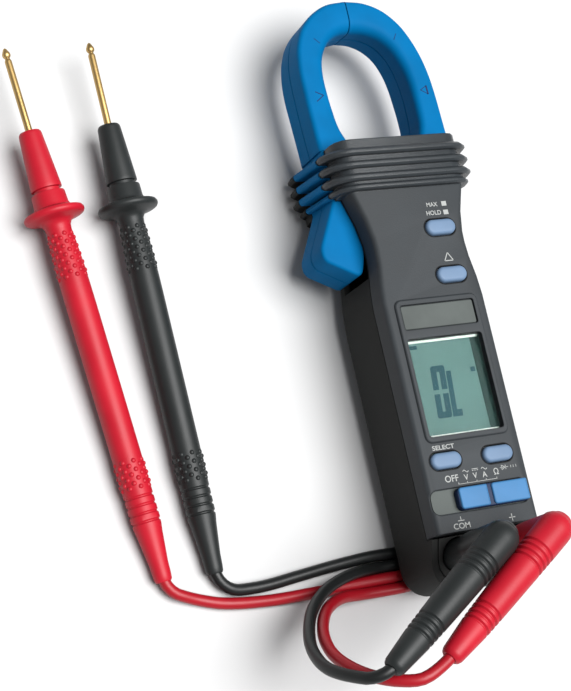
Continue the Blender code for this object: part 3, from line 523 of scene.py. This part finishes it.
def round_corners(corners, parts=5):
    """Closed outline of (x, y, radius) corners with each radius turned into an arc."""
    outline = []
    for before, corner, after in zip(corners[-1:] + corners[:-1], corners, corners[1:] + corners[:1]):
        middle, radius = Vector(corner[:2]), corner[2]
        if radius <= 0:
            outline.append(middle)
            continue
        start = middle + (Vector(before[:2]) - middle).normalized() * radius
        end = middle + (Vector(after[:2]) - middle).normalized() * radius
        weight = math.cos((math.pi - (start - middle).angle(end - middle)) / 2)
        for k in range(parts + 1):
            t = k / parts
            a, b, c = (1 - t) ** 2, 2 * weight * t * (1 - t), t * t
            outline.append((start * a + middle * b + end * c) / (a + b + c))
    return outline


def skin(bm, rings):
    """Close a row of equal rings of points into a solid."""
    rows = [[bm.verts.new(p) for p in ring] for ring in rings]
    for low, high in zip(rows, rows[1:]):
        for k in range(len(low)):
            n = (k + 1) % len(low)
            bm.faces.new((low[k], low[n], high[n], high[k]))
    bm.faces.new(list(reversed(rows[0])))
    bm.faces.new(rows[-1])


def fade(value, start, end):
    """1 up to start, easing to 0 at end."""
    t = max(0.0, min(1.0, (end - value) / (end - start)))
    return t * t * (3 - 2 * t)


def arm_ring(row, share):
    """Section of a jaw arm, with its parting groove; share runs from 0 at the collar to 1 at the tip."""
    outer, inner = Vector((row[0] + BODY_X, row[1])), Vector((row[2] + BODY_X, row[3]))
    wide = (outer - inner).length
    across = (outer - inner) / wide
    back = JAW_REAR_Z + JAW_TAPER * share + JAW_LIFT * fade(share, 0.05, 0.4)
    draft_in, draft_out = 1.0 * share, 0.5 * share
    middle = (JAW_FRONT_Z - JAW_PART_Z) / (JAW_FRONT_Z - back)
    left, right = draft_in * middle, wide - draft_out * middle
    above, below = JAW_PART_Z + PART_GROOVE, JAW_PART_Z - PART_GROOVE
    corners = [(0, JAW_FRONT_Z, 2.0 + 2.2 * share), (wide, JAW_FRONT_Z, 1.6), (right, above, 0),
               (right - PART_DEPTH, JAW_PART_Z, 0), (right, below, 0), (wide - draft_out, back, 2.0),
               (draft_in, back, 2.0), (left, below, 0), (left + PART_DEPTH, JAW_PART_Z, 0), (left, above, 0)]
    return [(*(inner + across * u), z) for u, z in round_corners(corners)]


def build_arm(name, stations, look, body, *nodes):
    """One rounded arm of the jaw, lofted from the collar to the tip."""
    rows = filled_in(stations, 6)
    bm = bmesh.new()
    skin(bm, [arm_ring(row, k / (len(rows) - 1)) for k, row in enumerate(rows)])
    arm = add_piece(name, bm, look, body)
    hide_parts(*nodes)


LEVER_REAR_Z = 10.9
TRIGGER = [(-22.6, 45.4, 2.9), (-10.8, 45.4, 2.4), (-9.0, 39.5, 2.4), (-9.0, 27.5, 2.4), (-13.2, 20.0, 4.0),
           (-15.6, 8.0, 3.0), (-17.9, 2.2, 2.2), (-29.4, 8.6, 1.8), (-29.9, 12.4, 1.9), (-21.6, 28.5, 2.0),
           (-21.6, 40.0, 2.0)]
TRIGGER_EDGE = ((0.0, 1.1), (0.1, 0.7), (0.35, 0.32), (0.7, 0.1), (1.1, 0.0))      # depth below a face, inset
# y, reach and half height of each rib
RIBS = ((39.3, 25.2, 1.2), (35.2, 25.2, 1.2), (31.1, 25.2, 1.2), (28.0, 23.6, 0.95))
RIB_ROOT_X = -18.0
RIB_LEAN = 0.075              # how fast the ribs move along the body as they go back
RIB_BACKING = [(-21.6, 27.0), (-21.6, 43.5), (RIB_ROOT_X, 43.5), (RIB_ROOT_X, 27.0)]


def build_trigger(mats):
    """The lever's body and its trigger as one solid, with rounded edges and a parting groove."""
    outline = round_corners(TRIGGER)
    levels = [(LEVER_REAR_Z + depth, inset) for depth, inset in TRIGGER_EDGE]
    levels += [(JAW_PART_Z - PART_GROOVE, 0), (JAW_PART_Z, PART_DEPTH), (JAW_PART_Z + PART_GROOVE, 0)]
    levels += [(JAW_FRONT_Z - depth, inset) for depth, inset in reversed(TRIGGER_EDGE)]
    bm = bmesh.new()
    skin(bm, [[(p.x + BODY_X, p.y, z) for p in inset_outline(outline, inset)] for z, inset in levels])
    add_piece("trigger", bm, mats["jaw"], "lever")


def build_lever_ribs(mats):
    """The ribs that carry the collar round the lever's side, on a plain backing."""
    bm = bmesh.new()
    for y, reach, half in RIBS:
        outline = round_corners([(RIB_ROOT_X, y + half, 0), (-reach, y + half, 1.0), (-reach, y - half, 1.0),
                                 (RIB_ROOT_X, y - half, 0)])
        skin(bm, [[(p.x + BODY_X, p.y - RIB_LEAN * (z - CASE_TOP_Z), z) for p in outline]
                  for z in (LEVER_REAR_Z, JAW_FRONT_Z)])
    skin(bm, [[(x + BODY_X, y, z) for x, y in RIB_BACKING] for z in (LEVER_REAR_Z, JAW_FRONT_Z)])
    add_piece("lever_ribs", bm, mats["jaw"], "lever")


def inset_outline(outline, inset):
    """Move a closed clockwise outline inwards, point by point."""
    moved = []
    for before, here, after in zip(outline[-1:] + outline[:-1], outline, outline[1:] + outline[:1]):
        along = ((here - before).normalized() + (after - here).normalized()).normalized()
        moved.append(here + Vector((along.y, -along.x)) * inset)
    return moved


# ---- marks ----
PRINT_THICK, PRINT_BOLD = 0.00002, 0.00003     # metres


def plate_piece(name, outlines, z, look, body="root", thick=0.04):
    """Flat printed marks, painted shade or painted highlights: closed outlines in mm, barely proud of a
    surface at z.
    """
    bm = bmesh.new()
    for outline in outlines:
        low = [bm.verts.new((x, y, z)) for x, y in outline]
        high = [bm.verts.new((x, y, z + thick)) for x, y in outline]
        bm.faces.new(list(reversed(low)))
        bm.faces.new(high)
        for k in range(len(outline)):
            n = (k + 1) % len(outline)
            bm.faces.new((low[k], low[n], high[n], high[k]))
    return add_piece(name, bm, look, body, 20)


def stroke(x0, y0, x1, y1, width):
    """A straight line as a thin rectangle."""
    a, b = Vector((x0, y0)), Vector((x1, y1))
    side = (b - a).normalized().orthogonal() * width / 2
    return [tuple(a - side), tuple(b - side), tuple(b + side), tuple(a + side)]


def path_strokes(points, width):
    """A line through several points, one thin rectangle for each stretch."""
    return [stroke(*p, *q, width) for p, q in zip(points, points[1:])]


def word(name, text, x, y, size, look, width):
    """A generic word printed on the panel, its left end at x."""
    curve = bpy.data.curves.new(name, "FONT")
    curve.body = text
    curve.size = size * MM
    curve.extrude = PRINT_THICK
    curve.offset = PRINT_BOLD
    curve.align_y = "CENTER"
    obj = bpy.data.objects.new(name, curve)
    obj.location = (x * MM, y * MM, PANEL_Z * MM)
    obj.scale = (width, 1, 1)
    bpy.context.collection.objects.link(obj)
    curve.materials.append(look)
    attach(obj, "root")
    return obj


PANEL_Z = 35.53               # where the print starts, just proud of the panel
# name, text, left end, middle height, size and width of each word
WORDS = (("off", "OFF", -8.9, -64.3, 2.8, 0.95), ("ohm", "\u03a9", 7.9, -64.2, 2.6, 0.95),
         ("volt_ac", "V", -2.3, -64.5, 2.4, 0.95), ("volt_dc", "V", 0.8, -64.4, 2.4, 0.95),
         ("amp_ac", "A", 4.0, -64.5, 2.4, 0.95), ("select", "SELECT", -10.7, -54.6, 1.9, 1.22),
         ("com", "COM", -9.7, -78.55, 2.4, 1.05), ("hold", "HOLD", 6.3, 18.1, 2.0, 0.95),
         ("max", "MAX", 7.0, 20.8, 1.9, 0.95))
SWITCH_STOPS = (-4.6, -1.6, 1.7, 4.9, 8.6)     # where the slide switch's positions are marked


def switch_symbols():
    """Over the slide switch: alternating and direct current, a diode, dashes, and a line joining the stops."""
    lines = []
    for x in (-1.4, 5.0):
        wave = [(x - 1.0, -62.6), (x - 0.5, -62.2), (x, -62.6), (x + 0.5, -63.0), (x + 1.0, -62.6)]
        lines += path_strokes(wave, 0.2)
    lines += [stroke(0.8, -62.3, 2.9, -62.3, 0.18)]
    lines += [stroke(0.8 + k * 0.8, -62.75, 1.3 + k * 0.8, -62.75, 0.18) for k in range(3)]
    lines += path_strokes([(11.0, -63.9), (11.0, -62.5), (12.3, -63.2), (11.0, -63.9)], 0.2)
    lines += [stroke(12.4, -63.9, 12.4, -62.5, 0.2), stroke(10.4, -63.2, 13.3, -63.2, 0.18)]
    lines += [stroke(14.2 + 0.9 * k, -63.6, 14.2 + 0.9 * k, -62.8, 0.18) for k in range(3)]
    lines += [stroke(SWITCH_STOPS[0], -66.2, SWITCH_STOPS[-1], -66.2, 0.14)]
    return lines + [stroke(x, -66.3, x, -65.7, 0.2) for x in SWITCH_STOPS]


def terminal_symbols():
    """The sign over the common socket and the plus over the other."""
    return [stroke(-6.7, -75.7, -6.7, -76.9, 0.22), stroke(-7.8, -76.9, -5.6, -76.9, 0.22),
            stroke(9.4, -78.4, 11.6, -78.4, 0.28), stroke(10.5, -77.3, 10.5, -79.5, 0.28)]


def button_symbols():
    """The zero button's triangle, and the squares beside the words for maximum and hold."""
    lines = path_strokes([(8.8, 2.5), (11.8, 2.5), (10.3, 5.1), (8.8, 2.5)], 0.3)
    for y in (18.1, 20.9):
        lines.append([(12.4, y - 0.75), (14.1, y - 0.75), (14.1, y + 0.75), (12.4, y + 0.75)])
    return lines


def build_marks(mats):
    """Generic marks on the panel: switch positions, button names and terminals."""
    white = mats["print"]
    for name, text, x, y, size, width in WORDS:
        word(f"mark_{name}", text, x, y, size, white, width)
    lines = switch_symbols() + terminal_symbols() + button_symbols()
    plate_piece("mark_lines", lines, PANEL_Z, white)


SCREEN_Z = 33.22              # the face of the display glass
DIGIT_LEAN, DIGIT_MIDDLE = 0.075, -37.4
DIGIT_CUT = 0.5               # how much of its outer corners a digit's bar loses


def leaning(corners):
    """Corners of a digit, leaned about the digits' middle height."""
    return [(x + DIGIT_LEAN * (y - DIGIT_MIDDLE), y) for x, y in corners]


def digit_half(x, y, width, thick, reach):
    """Upper or lower half of a liquid crystal nought: a bar at y and two limbs that reach from it."""
    way, cut = math.copysign(1, reach), DIGIT_CUT
    end, right = y + reach, x + width
    return leaning([(x, end), (x, y + way * cut), (x + cut, y), (right - cut, y), (right, y + way * cut),
                    (right, end), (right - thick, end), (right - thick, y + way * thick),
                    (x + thick, y + way * thick), (x + thick, end)])


def build_display(mats):
    """What the liquid crystal shows, a painted shadow along its right edge, and painted highlights along the
    top and bottom edges of its window.
    """
    shown = [digit_half(-4.4, -29.3, 4.9, 1.95, -7.45), digit_half(-4.4, -45.5, 4.9, 1.95, 7.45)]
    stem = [(0.85, -45.5), (4.25, -45.5), (4.25, -43.4), (2.5, -43.4), (2.5, -31.3), (0.85, -31.3)]
    shown += [leaning(stem)]
    shown += [[(-9.6, -23.6), (-6.6, -23.6), (-6.6, -22.4), (-9.6, -22.4)]]
    shown += [[(9.9, -32.4), (11.5, -32.4), (11.5, -30.9), (9.9, -30.9)]]
    plate_piece("lcd_segments", shown, SCREEN_Z, mats["segment"])
    # painted shadow of the window's right wall, as a dark green band on the glass
    painted_shadow = [[(12.0, -50.9), (15.0, -50.9), (15.0, -21.2), (12.0, -21.2)]]
    plate_piece("lcd_painted_shadow", painted_shadow, SCREEN_Z, mats["painted_shadow"])
    # painted highlights: thin near-white strips on the window's top and bottom edges
    edges = [[(-10.6, -21.75), (14.6, -21.75), (14.6, -21.05), (-10.6, -21.05)],
             [(-10.6, -51.0), (14.9, -51.0), (14.9, -50.4), (-10.6, -50.4)]]
    plate_piece("lcd_lips", edges, SCREEN_Z, mats["lip"], thick=0.3)


def build_jaw_marks(mats):
    """Small alignment marks moulded in the two jaws, coloured darker than the jaw as painted shade."""
    # the marks' darker blue is painted shade
    z, mark_shade = JAW_FRONT_Z + 0.01, mats["jaw_mark_shade"]
    left = path_strokes([(-17.4, 63.3), (-14.8, 62.0), (-17.5, 60.1)], 0.3)
    left += [stroke(-13.6, 81.2, -11.8, 79.5, 0.2)]
    right = path_strokes([(22.2, 63.3), (19.9, 62.0), (22.3, 60.5)], 0.22)
    right += [stroke(22.3, 60.4, 22.2, 63.4, 0.55), stroke(15.9, 81.7, 14.8, 79.7, 0.2)]
    plate_piece("jaw_mark_moving", left, z, mark_shade, "lever", 0.03)
    plate_piece("jaw_mark_fixed", right, z, mark_shade, "root", 0.03)


# ---- buttons, slide switch and tie ----
BUTTONS = {"hold": (7.8, 13.4), "zero": (7.8, -1.9), "select": (-9.3, -58.6), "range": (8.5, -58.8)}
BUTTON_LOW, BUTTON_TOP = 34.0, 36.8
BUTTON_REACH, BUTTON_R = 2.7, 2.45      # from the middle to the centre of a round end, and the end's radius
# the ring of painted shade round each button: reach, outer radius and inner radius
SHADE_RING_REACH, SHADE_RING_OUTER, SHADE_RING_INNER = 2.6, 3.1, 2.8
# a rounded top edge, as depth below the top and inset from the side
ROUND_OVER = ((1.15, 0.0), (0.6, 0.12), (0.22, 0.42), (0.05, 0.8), (0.0, 1.25))
KNOB_WEST, KNOB_EAST, KNOB_SOUTH, KNOB_NORTH = BODY_X - 8.95, BODY_X + 15.2, -74.2, -67.4
KNOB_LOW, KNOB_TOP = 35.05, 37.3
PAD_LOW, PAD_TOP = 37.2, 38.0
# the dark base that shows here is painted shade in the groove between the pads
PAD_GAP = (BODY_X + 1.15, BODY_X + 2.65)     # the strip of the base that shows between the two pads


def long_round(x, y, reach, radius, turns):
    """Points of a button's outline, straight with round ends, at the given turns about its middle."""
    return [(BODY_X + x + math.copysign(reach, math.cos(turn)) + radius * math.cos(turn),
             y + radius * math.sin(turn)) for turn in turns]


def capped(bm, outline, low, top, over=ROUND_OVER, scale=1.0):
    """Upright solid on a clockwise outline, its top edge rounded over."""
    levels = [(low, 0.0)] + [(top - depth * scale, inset * scale) for depth, inset in over]
    skin(bm, [[(p.x, p.y, z) for p in inset_outline(outline, inset)] for z, inset in levels])


def build_buttons(mats):
    """The four rubber buttons."""
    for name, (x, y) in BUTTONS.items():
        turns = [-math.pi * 2 * (k + 0.5) / 32 for k in range(32)]
        outline = [Vector(p) for p in long_round(x, y, BUTTON_REACH, BUTTON_R, turns)]
        bm = bmesh.new()
        capped(bm, outline, BUTTON_LOW, BUTTON_TOP)
        cap = add_piece(f"cap_{name}", bm, mats["button"], name, angle=60)
        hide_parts(f"button_{name}")


def build_slide(mats):
    """The two raised pads of the slide switch on their base, painted dark blue as shade on the knob's sides
    and in the groove between the pads.
    """
    bm = bmesh.new()
    capped(bm, round_corners([(KNOB_WEST, KNOB_NORTH, 1.6), (KNOB_EAST, KNOB_NORTH, 1.4),
                              (KNOB_EAST, KNOB_SOUTH, 1.4), (KNOB_WEST, KNOB_SOUTH, 1.6)]),
           KNOB_LOW, KNOB_TOP, scale=0.3)
    # the base's dark blue is painted shade
    base = add_piece("slide_base", bm, mats["knob_painted_shade"], "slide", angle=50)
    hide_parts("slide_knob")
    bm = bmesh.new()
    for x0, x1 in ((KNOB_WEST + 0.35, PAD_GAP[0]), (PAD_GAP[1], KNOB_EAST - 0.25)):
        capped(bm, round_corners([(x0, KNOB_NORTH - 0.15, 0.9), (x1, KNOB_NORTH - 0.15, 0.5),
                                  (x1, KNOB_SOUTH + 0.25, 0.5), (x0, KNOB_SOUTH + 0.25, 0.9)]),
               PAD_LOW, PAD_TOP, scale=0.45)
    pads = add_piece("slide_pads", bm, mats["knob"], "slide", angle=50)


TIE_Y = (-13.0, -7.0)         # along the strands
TIE_LOW, TIE_TOP, TIE_THICK, TIE_CORNER = 0.03, 4.5, 0.5, 1.9


def build_tie(mats):
    """Flat strap round the folded leads under the case."""
    x0, x1 = TIE_SPAN
    bm = bmesh.new()
    outer = round_corners([(x, z, TIE_CORNER)
                           for x, z in ((x0, TIE_TOP), (x1, TIE_TOP), (x1, TIE_LOW), (x0, TIE_LOW))])
    in0, in1, in_top, in_low = x0 + TIE_THICK, x1 - TIE_THICK, TIE_TOP - TIE_THICK, TIE_LOW + TIE_THICK / 2
    inner = round_corners([(x, z, 1.6)
                           for x, z in ((in0, in_top), (in1, in_top), (in1, in_low), (in0, in_low))])
    loops = []
    for y, section in ((TIE_Y[0], inner), (TIE_Y[0], outer), (TIE_Y[1], outer), (TIE_Y[1], inner)):
        loops.append([bm.verts.new((p.x, y, p.y)) for p in section])
    for a, b in zip(loops, loops[1:] + loops[:1]):
        for k in range(len(a)):
            n = (k + 1) % len(a)
            bm.faces.new((a[k], a[n], b[n], b[k]))
    tie = add_piece("lead_tie", bm, mats["gasket"])


def build_button_shade(mats):
    """Painted shade round the four buttons where they pass through the case: thin near-black rings on the
    panel.
    """
    shade_rings = []
    turns = [math.pi * (k / 16.0) for k in range(33)]
    for x, y in BUTTONS.values():
        outer = long_round(x, y, SHADE_RING_REACH, SHADE_RING_OUTER, turns)
        inner = long_round(x, y, SHADE_RING_REACH, SHADE_RING_INNER, turns)
        shade_rings += [[outer[k], outer[k + 1], inner[k + 1], inner[k]] for k in range(32)]
    # the near-black gasket finish here is painted shade, not a part
    plate_piece("button_shade_rings", shade_rings, CASE_TOP_Z, mats["gasket"], thick=0.06)


WELD_WITHIN = 0.000002        # metres
CREASE = math.radians(33)     # edges that turn more than this stay sharp


def soften(frame):
    """Smooth shading on the faceted nodes, with creases kept."""
    group = bpy.data.node_groups.new("soften", "GeometryNodeTree")
    group.interface.new_socket("Geometry", in_out="INPUT", socket_type="NodeSocketGeometry")
    group.interface.new_socket("Geometry", in_out="OUTPUT", socket_type="NodeSocketGeometry")
    nodes, links = group.nodes, group.links
    start, end = nodes.new("NodeGroupInput"), nodes.new("NodeGroupOutput")
    plain = nodes.new("GeometryNodeRemoveAttribute")
    plain.inputs["Name"].default_value = "custom_normal"
    merge = nodes.new("GeometryNodeMergeByDistance")
    merge.inputs["Distance"].default_value = WELD_WITHIN
    faces = nodes.new("GeometryNodeSetShadeSmooth")
    edges = nodes.new("GeometryNodeSetShadeSmooth")
    edges.domain = "EDGE"
    edges.inputs["Shade Smooth"].default_value = False
    angle = nodes.new("GeometryNodeInputMeshEdgeAngle")
    sharp = nodes.new("ShaderNodeMath")
    sharp.operation = "GREATER_THAN"
    sharp.inputs[1].default_value = CREASE
    links.new(start.outputs[0], plain.inputs[0])
    links.new(plain.outputs[0], merge.inputs[0])
    links.new(merge.outputs[0], faces.inputs[0])
    links.new(faces.outputs[0], edges.inputs[0])
    links.new(angle.outputs[0], sharp.inputs[0])
    links.new(sharp.outputs[0], edges.inputs["Selection"])
    links.new(edges.outputs[0], end.inputs[0])
    for node in frame["nodes"].values():
        step = node.modifiers.new("soften", "NODES")
        step.node_group = group


# ---- stage ----
FLOOR_SIZE, FLOOR_DROP = 4, 0.0002      # metres; the floor lies just under the object
FLOOR_GREY, FLOOR_ROUGH = 0.5, 0.85
SKY_STRENGTH, KEY_STRENGTH = 0.28, 6.1
KEY_SPREAD = math.radians(45)           # how large the soft light looks
KEY_DIRECTION = (-0.2, 0.12, -0.97)


def build_stage():
    """Plain pale floor, even light from all round and one large soft light from above."""
    bpy.ops.mesh.primitive_plane_add(size=FLOOR_SIZE, location=(0, 0, -FLOOR_DROP))
    floor = bpy.context.object
    floor.name = "floor"
    m = bpy.data.materials.new("floor")
    m.use_nodes = True
    bsdf = m.node_tree.nodes["Principled BSDF"]
    bsdf.inputs["Base Color"].default_value = (FLOOR_GREY, FLOOR_GREY, FLOOR_GREY, 1)
    bsdf.inputs["Roughness"].default_value = FLOOR_ROUGH
    floor.data.materials.append(m)
    world = bpy.data.worlds.new("studio")
    bpy.context.scene.world = world
    bpy.context.scene.view_settings.view_transform = "Standard"
    world.use_nodes = True
    sky = world.node_tree.nodes["Background"]
    sky.inputs["Color"].default_value = (0.95, 0.97, 1.0, 1)
    sky.inputs["Strength"].default_value = SKY_STRENGTH
    light = bpy.data.lights.new("key", "SUN")
    light.energy, light.angle = KEY_STRENGTH, KEY_SPREAD
    lamp = bpy.data.objects.new("key", light)
    lamp.rotation_euler = Vector(KEY_DIRECTION).to_track_quat("-Z", "Y").to_euler()
    bpy.context.collection.objects.link(lamp)


CAMERA_PLACE = (-0.28797, -0.13706, 0.52785)     # metres
CAMERA_FORWARD = (0.42476, 0.21250, -0.88001)
CAMERA_UP = (0.10479, 0.95399, 0.28094)
SENSOR_WIDTH, FOCAL_LENGTH = 36, 100.2          # millimetres
CLIP_NEAR, CLIP_FAR = 0.01, 10


def build_camera():
    """Camera above the meter's lower left, looking up along the case."""
    forward = Vector(CAMERA_FORWARD).normalized()
    right = forward.cross(Vector(CAMERA_UP)).normalized()
    up = right.cross(forward)
    camera = bpy.data.cameras.new("camera")
    camera.sensor_width = SENSOR_WIDTH
    camera.lens = FOCAL_LENGTH
    camera.clip_start, camera.clip_end = CLIP_NEAR, CLIP_FAR
    holder = bpy.data.objects.new("camera", camera)
    turn = Matrix((right, up, -forward)).transposed().to_4x4()
    holder.matrix_world = Matrix.Translation(CAMERA_PLACE) @ turn
    bpy.context.collection.objects.link(holder)
    bpy.context.scene.camera = holder


def paint_nodes(frame, mats):
    """Each CAD node gets the finish of its slot in the record, and the rear shell and terminal block a darker
    copy of the case finish as painted shade.
    """
    for part in frame["record"]["subparts"]:
        node = frame["nodes"][part["node"]]
        look = mats[part["material_slot"]]
        # painted shade: the rear shell and terminal block get the darker copy of the case finish
        if part["node"] in ("rear_case", "terminal_block"):
            look = mats["case_painted_shade"]
        if not node.material_slots:
            node.data.materials.append(look)
        for slot in node.material_slots:
            slot.material = look


def main():
    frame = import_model()
    mats = build_materials()
    mats["window"] = window_material()
    build_camera()
    build_stage()
    paint_nodes(frame, mats)
    soften(frame)
    for colour in ("black", "red"):
        pieces = build_plug(colour, mats) + build_probe(colour, mats)
        build_lead(colour, mats)
    build_arm("fixed_jaw", FIXED_ARM, mats["jaw"], "root", "fixed_jaw_front", "fixed_jaw_rear")
    build_arm("moving_jaw", MOVING_ARM, mats["jaw"], "lever", "lever_front", "lever_rear")
    build_trigger(mats)
    build_lever_ribs(mats)
    build_marks(mats)
    build_display(mats)
    build_jaw_marks(mats)
    build_button_shade(mats)
    build_buttons(mats)
    build_slide(mats)
    build_tie(mats)


main()
